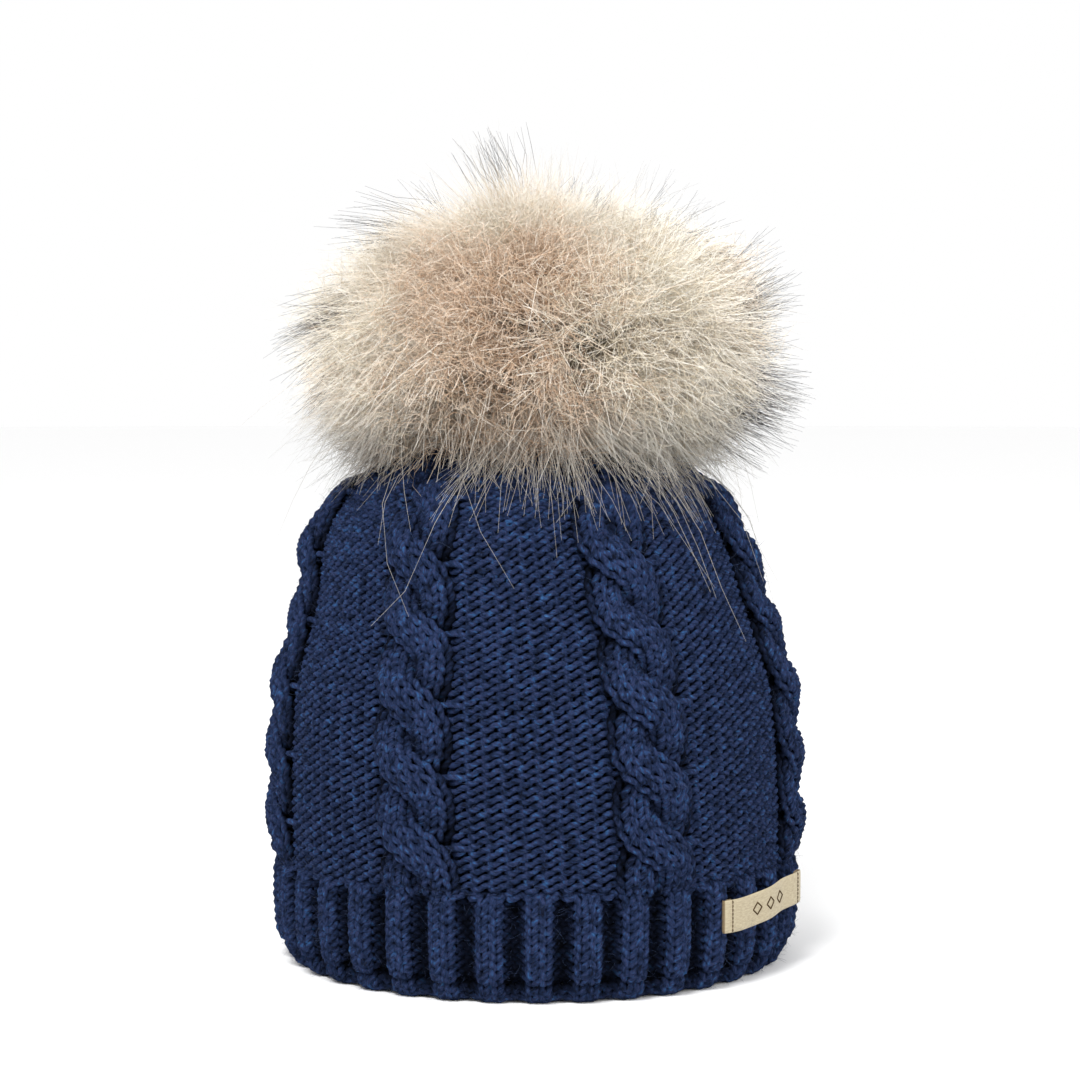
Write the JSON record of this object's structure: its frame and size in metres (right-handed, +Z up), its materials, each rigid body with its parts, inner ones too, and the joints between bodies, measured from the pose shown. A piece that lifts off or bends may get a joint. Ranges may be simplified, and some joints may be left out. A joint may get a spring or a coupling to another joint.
{
  "type": "pom pom beanie",
  "caption": "Lined knitted winter hat with a ribbed brim, rope cables, a side label and a detachable fur pom that turns, nods and lifts off.",
  "frame": {"origin": "centre of the plane that the brim's rim stands on, on the hat's axis", "axes": "+Z up along the hat's axis towards the pom, -Y towards the front, +X towards the side with the ribbon label"},
  "size_m": [0.177, 0.177, 0.264],
  "materials": {
    "navy_yarn": "matte",
    "fleece": "matte",
    "navy_thread": "matte",
    "beige_ribbon": "matte",
    "brown_thread": "matte",
    "white_satin": "matte",
    "white_thread": "matte",
    "black_felt": "matte",
    "snap_metal": "satin",
    "spring_steel": "satin",
    "disc_plastic": "matte",
    "pelt_leather": "matte",
    "wadding": "matte",
    "fur": "matte"
  },
  "bodies": {
    "hat": {"rib_brim": "navy_yarn", "cable_body": "navy_yarn", "gathered_crown": "navy_yarn", "fleece_lining": "fleece", "lining_seam_thread": "navy_thread", "back_seam_thread": "navy_yarn", "crown_gather_thread": "navy_yarn", "side_label": "beige_ribbon", "side_label_stitches": "brown_thread", "care_label_stitches": "white_thread", "crown_felt_disc": "black_felt", "snap_cap": "snap_metal", "snap_socket": "snap_metal"},
    "care_flap": {"care_label": "white_satin"},
    "spring_ring": {"socket_spring_ring": "spring_steel"},
    "stud": {"snap_stud": "snap_metal", "stud_rivet": "snap_metal"},
    "pom": {"pom_base_disc": "disc_plastic", "pom_pelt": "pelt_leather", "pom_filling": "wadding", "pom_drawstring": "white_thread", "pom_fur": "fur"}
  },
  "joints": [
    {"name": "care_label_flap", "type": "hinge", "parent": "hat", "child": "care_flap", "pos_m": [0, 0.0746, 0.061], "axis": [-1, 0, 0], "range_deg": [0, 95]},
    {"name": "pom_spin", "type": "hinge", "parent": "hat", "child": "spring_ring", "pos_m": [0, 0, 0.171], "axis": [0, 0, 1], "continuous": true},
    {"name": "pom_lift", "type": "slide", "parent": "spring_ring", "child": "stud", "axis": [0, 0, 1], "range_m": [0, 0.04]},
    {"name": "pom_rock", "type": "hinge", "parent": "stud", "child": "pom", "pos_m": [0, 0, 0.175], "axis": [1, 0, 0], "range_deg": [-10, 10], "stiffness_Nm_per_rad": 0.2}
  ]
}
